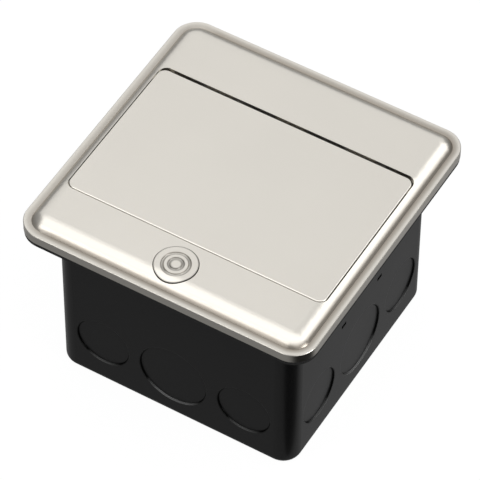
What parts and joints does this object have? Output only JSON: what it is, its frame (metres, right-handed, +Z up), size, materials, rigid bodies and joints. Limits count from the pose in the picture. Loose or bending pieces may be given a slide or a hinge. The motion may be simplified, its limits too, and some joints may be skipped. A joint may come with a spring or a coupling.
{
  "type": "pop-up floor socket box",
  "caption": "Square floor box with a satin face plate, knockouts, and a push-button lid that swings up with a socket module under it.",
  "frame": {"origin": "The middle of the box's underside, level with the surface that it stands on.", "axes": "+Z up, -Y to the release button, +X right, along the hinge rod."},
  "size_m": [0.12, 0.12, 0.0838],
  "materials": {
    "box_black": "satin powder coat",
    "nickel": "satin nickel plate",
    "seal_rubber": "moulded rubber",
    "zinc_steel": "zinc plate",
    "screw_steel": "bright zinc",
    "pin_steel": "ground steel",
    "spring_steel": "spring steel",
    "receptacle_black": "moulded thermoset",
    "gear_nylon": "moulded nylon",
    "brass": "plain brass",
    "silver_screw": "nickel plate",
    "green_screw": "green dye"
  },
  "bodies": {
    "box": {"floor_box": "box_black", "ground_screw": "green_screw", "gasket": "seal_rubber", "face_plate": "nickel", "plate_screws": "screw_steel", "lid_bumpers": "seal_rubber", "inner_frame": "zinc_steel", "frame_screws": "screw_steel", "hinge_rod": "pin_steel", "hinge_clips": "pin_steel", "damper_body": "zinc_steel", "damper_screws": "screw_steel", "spring_post": "pin_steel", "lift_spring": "spring_steel", "latch_guide": "zinc_steel", "guide_screws": "screw_steel", "button_spring": "spring_steel", "latch_spring": "spring_steel"},
    "lid": {"lid": "nickel", "lid_screws": "screw_steel", "module_housing": "zinc_steel", "back_cover": "zinc_steel", "cover_screws": "screw_steel", "cable_bushing": "seal_rubber", "receptacle_face": "receptacle_black", "receptacle_body": "receptacle_black", "centre_screw": "screw_steel", "hot_contact": "brass", "neutral_contact": "brass", "ground_sleeves": "brass", "mounting_strap": "zinc_steel", "strap_screws": "screw_steel", "hot_terminals": "brass", "neutral_terminals": "silver_screw", "ground_terminal": "green_screw", "sector_gear": "gear_nylon", "gear_spacers": "screw_steel", "gear_screws": "screw_steel", "spring_pin": "pin_steel", "striker_spring": "spring_steel", "striker_rivets": "screw_steel"},
    "button": {"release_button": "nickel", "button_clip": "pin_steel"},
    "latch": {"latch_bolt": "pin_steel"},
    "damper": {"damper_pinion": "gear_nylon"}
  },
  "joints": [
    {"name": "lid_hinge", "type": "hinge", "parent": "box", "child": "lid", "pos_m": [0, 0.0273, 0.0807], "axis": [-1, 0, 0], "range_deg": [0, 55], "deforming": ["lift_spring", "striker_spring"]},
    {"name": "button_press", "type": "slide", "parent": "box", "child": "button", "axis": [0, 0, -1], "range_m": [0, 0.0025], "stiffness_N_per_m": 300, "springref_m": -0.002, "deforming": ["button_spring"]},
    {"name": "latch_slide", "type": "slide", "parent": "box", "child": "latch", "axis": [0, -1, 0], "range_m": [0, 0.0025], "deforming": ["latch_spring"]},
    {"name": "damper_spin", "type": "hinge", "parent": "box", "child": "damper", "pos_m": [0.0392, 0.01896, 0.05502], "axis": [-1, 0, 0], "range_deg": [-245, 3]}
  ],
  "couplings": [
    {"joint": "latch_slide", "follows": "button_press", "ratio": 1},
    {"joint": "damper_spin", "follows": "lid_hinge", "ratio": -4.4}
  ]
}
